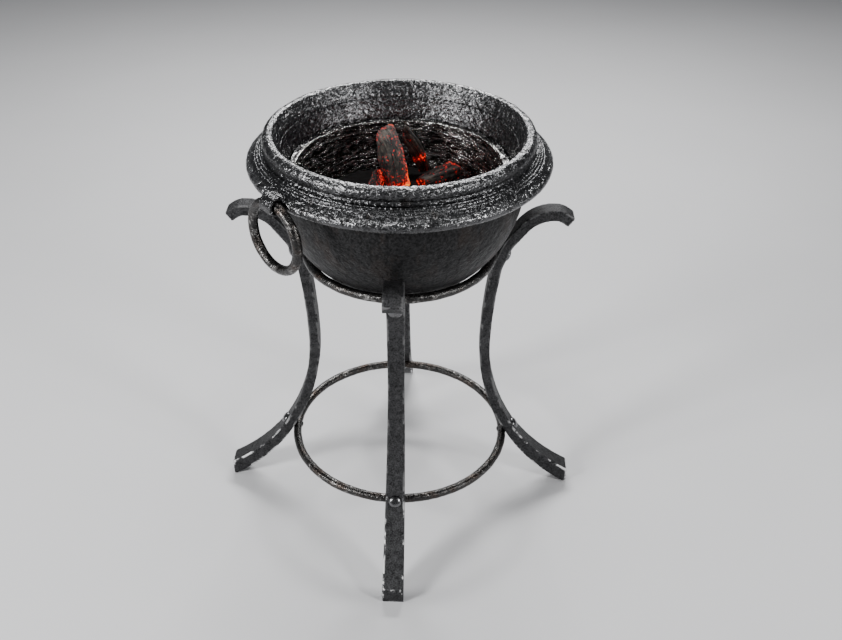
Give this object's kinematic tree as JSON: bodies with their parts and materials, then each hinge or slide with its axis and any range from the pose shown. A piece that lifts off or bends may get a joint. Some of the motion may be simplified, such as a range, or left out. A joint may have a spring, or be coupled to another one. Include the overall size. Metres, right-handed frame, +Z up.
{
  "type": "coal forge",
  "caption": "Round cast-iron brazier forge with a moulded rim and ring handles, on a forged four-legged stand.",
  "frame": {"origin": "on the floor under the middle of the bowl", "axes": "+Z up along the bowl's axis, front leg towards -Y, right leg towards +X"},
  "size_m": [0.664, 0.664, 0.742],
  "materials": {
    "forged_iron": "dark forge scale, worn bright at the edges",
    "ring_iron": "dark round bar with a brown rust tint",
    "rivet_steel": "dark, polished by wear",
    "bowl_iron": "dark satin casting with faint rust patches",
    "rim_iron": "coarse hammered casting with bright glints",
    "pot_iron": "sooty casting",
    "ash": "dark smooth ash",
    "charcoal": "cracked charcoal, some of it glowing",
    "charred_wood": "charred grey-brown, glowing at the edges and at the foot"
  },
  "bodies": {
    "stand": {"leg_front": "forged_iron", "leg_right": "forged_iron", "leg_back": "forged_iron", "leg_left": "forged_iron", "upper_ring": "ring_iron", "lower_ring": "ring_iron", "upper_ring_rivets": "rivet_steel", "lower_ring_rivets": "rivet_steel"},
    "bowl": {"bowl": "bowl_iron", "flange_ring": "rim_iron", "rim_collar": "rim_iron", "firepot": "pot_iron", "handle_lug_left": "rim_iron", "handle_lug_right": "rim_iron"},
    "handle_left": {"handle_left": "ring_iron"},
    "handle_right": {"handle_right": "ring_iron"},
    "grate": {"fire_grate": "pot_iron", "ash_bed": "ash", "charcoal": "charcoal", "log_tall": "charred_wood", "log_behind": "charred_wood", "log_lying": "charred_wood", "log_low": "charred_wood"}
  },
  "joints": [
    {"name": "bowl_lift", "type": "slide", "parent": "stand", "child": "bowl", "axis": [0, 0, 1], "range_m": [0, 0.35]},
    {"name": "grate_lift", "type": "slide", "parent": "bowl", "child": "grate", "axis": [0, 0, 1], "range_m": [0, 0.2]},
    {"name": "handle_left_swing", "type": "hinge", "parent": "bowl", "child": "handle_left", "pos_m": [-0.18102, -0.18102, 0.6965], "axis": [-0.7071, 0.7071, 0], "range_deg": [-14, 214]},
    {"name": "handle_right_swing", "type": "hinge", "parent": "bowl", "child": "handle_right", "pos_m": [0.18102, 0.18102, 0.6965], "axis": [0.7071, -0.7071, 0], "range_deg": [-14, 214]}
  ]
}
